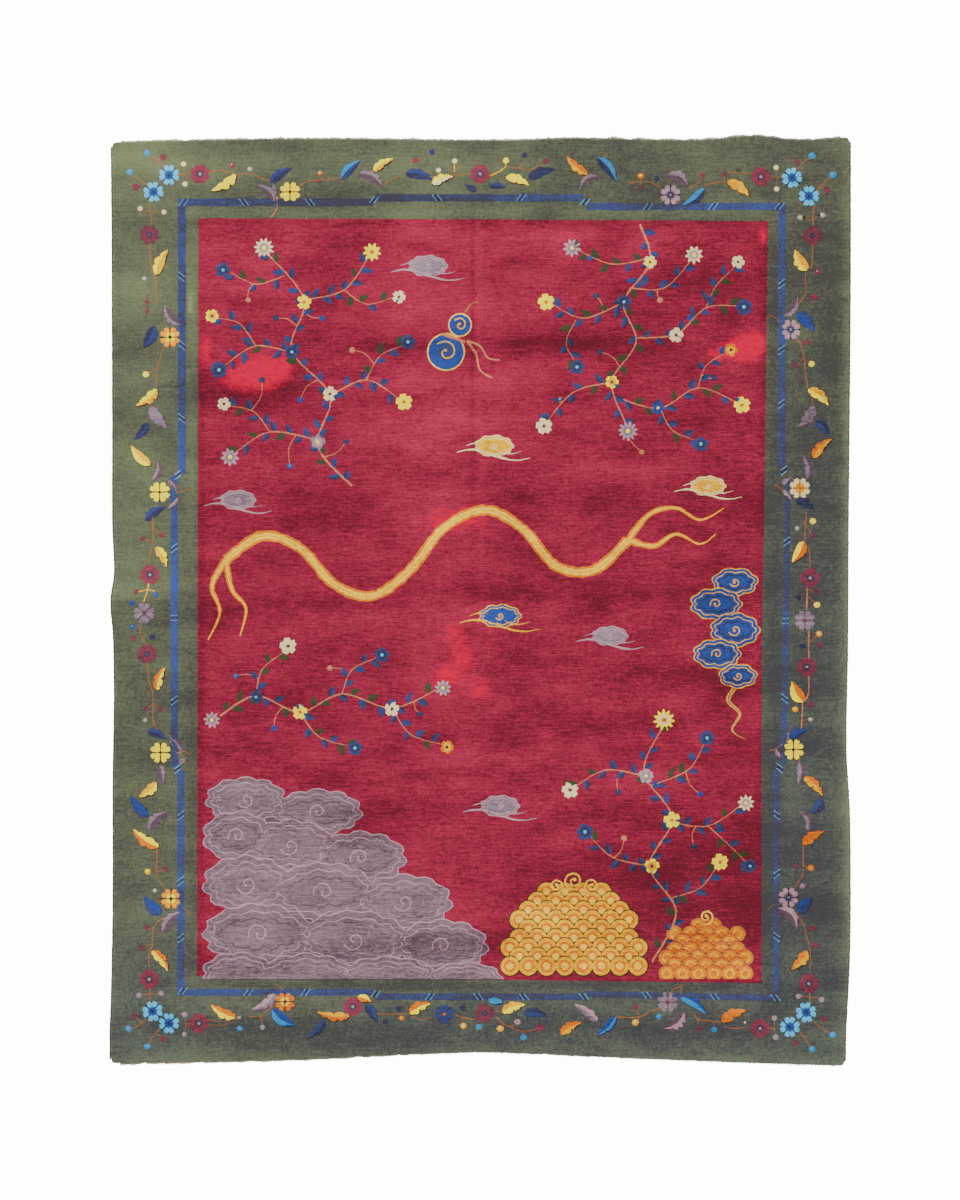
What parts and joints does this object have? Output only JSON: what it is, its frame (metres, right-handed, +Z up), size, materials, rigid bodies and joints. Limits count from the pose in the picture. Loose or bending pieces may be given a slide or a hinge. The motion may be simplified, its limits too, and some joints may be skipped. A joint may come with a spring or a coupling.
{
  "type": "hand-knotted chinese art deco rug",
  "caption": "Large rectangular hand-knotted wool rug lying flat, with overcast sides and short cut cotton ends.",
  "frame": {"origin": "on the floor under the middle of the rug's box", "axes": "seen from above, +X points to the right side and +Y to the top end of the pattern; +Z points up from the floor"},
  "size_m": [2.4488, 3.094, 0.018],
  "materials": {
    "wool_pile": "cut wool pile, matt with a soft sheen",
    "selvedge_wool": "overcast wool yarn, matt",
    "cotton_web": "plain-woven cotton with cut ends, matt"
  },
  "bodies": {
    "root": {"carpet": "wool_pile", "selvedge_left": "selvedge_wool", "selvedge_right": "selvedge_wool", "end_web_bottom": "cotton_web", "end_web_top": "cotton_web"}
  },
  "joints": []
}
